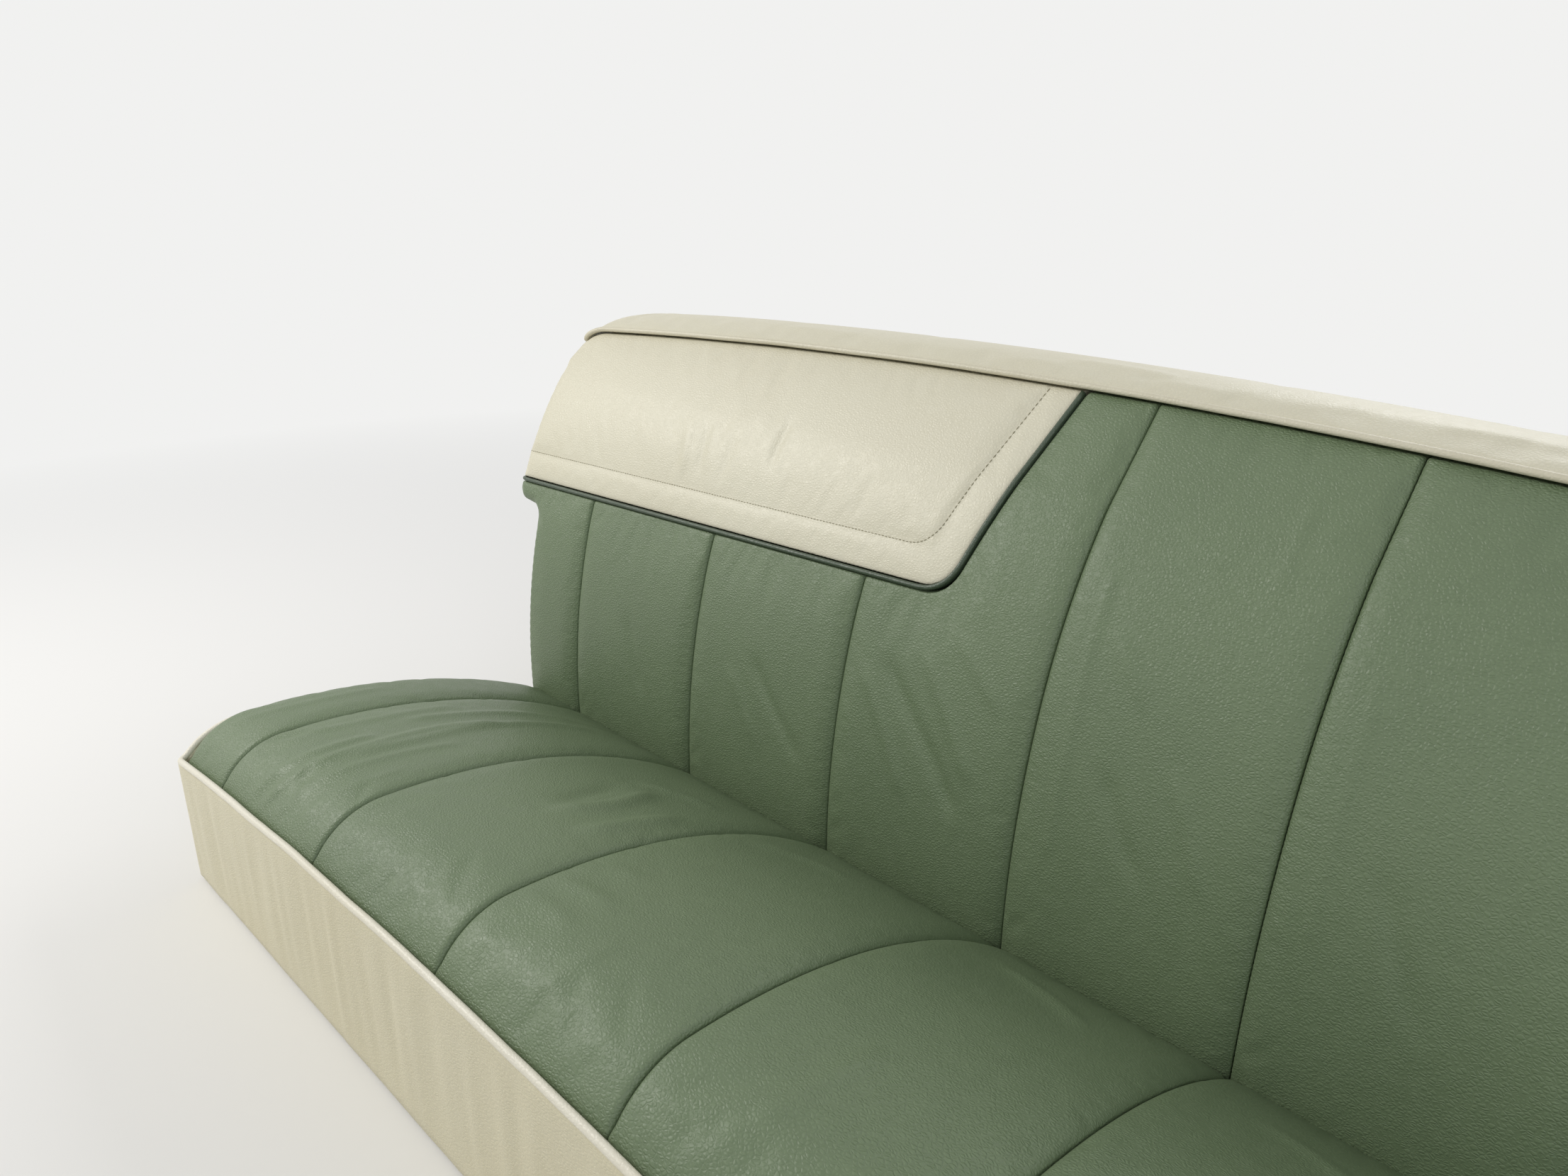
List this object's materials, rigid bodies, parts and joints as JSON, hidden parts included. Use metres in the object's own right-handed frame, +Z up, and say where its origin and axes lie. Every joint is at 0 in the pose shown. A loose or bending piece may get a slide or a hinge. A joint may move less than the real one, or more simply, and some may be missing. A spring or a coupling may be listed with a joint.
{
  "type": "rear bench seat of a 1950s car",
  "caption": "Rear bench seat for a two-door hardtop: a channelled leather cushion and back on sprung steel frames, with a pale insert on one half.",
  "frame": {"origin": "centre of the seat's plan outline, at floor level", "axes": "+X across the car, towards the end of the back without the insert; the sitter faces -Y; +Z up"},
  "size_m": [1.5796, 0.8056, 0.6586],
  "materials": {
    "green_leather": "soft sheen",
    "ivory_leather": "soft sheen",
    "facing_leather": "soft sheen",
    "pale_piping": "satin",
    "dark_welt": "satin",
    "frame_paint": "satin",
    "spring_steel": "dull",
    "spring_cloth": "coarse weave"
  },
  "bodies": {
    "root": {"back_bottom_rail": "frame_paint", "back_floor_brackets": "frame_paint", "back_hangers": "frame_paint", "back_insert": "ivory_leather", "back_insert_welt": "dark_welt", "back_panel_1": "green_leather", "back_panel_2": "green_leather", "back_panel_3": "green_leather", "back_panel_4": "green_leather", "back_panel_5": "green_leather", "back_panel_6": "green_leather", "back_panel_7": "green_leather", "back_side_rails": "frame_paint", "back_spring_clips": "spring_steel", "back_spring_cloth": "spring_cloth", "back_springs": "spring_steel", "back_top_piping": "pale_piping", "back_top_rail": "frame_paint", "back_top_roll": "ivory_leather", "back_uprights": "frame_paint", "cushion_cross_members": "frame_paint", "cushion_end_braces": "frame_paint", "cushion_end_facings": "facing_leather", "cushion_end_piping": "pale_piping", "cushion_end_rails": "frame_paint", "cushion_floor_tabs": "frame_paint", "cushion_front_facing": "facing_leather", "cushion_front_rail": "frame_paint", "cushion_panel_1": "green_leather", "cushion_panel_2": "green_leather", "cushion_panel_3": "green_leather", "cushion_panel_4": "green_leather", "cushion_panel_5": "green_leather", "cushion_panel_6": "green_leather", "cushion_panel_7": "green_leather", "cushion_piping": "pale_piping", "cushion_posts": "frame_paint", "cushion_rear_rail": "frame_paint", "cushion_spring_clips": "spring_steel", "cushion_spring_cloth": "spring_cloth", "cushion_spring_rails": "frame_paint", "cushion_springs": "spring_steel"}
  },
  "joints": []
}
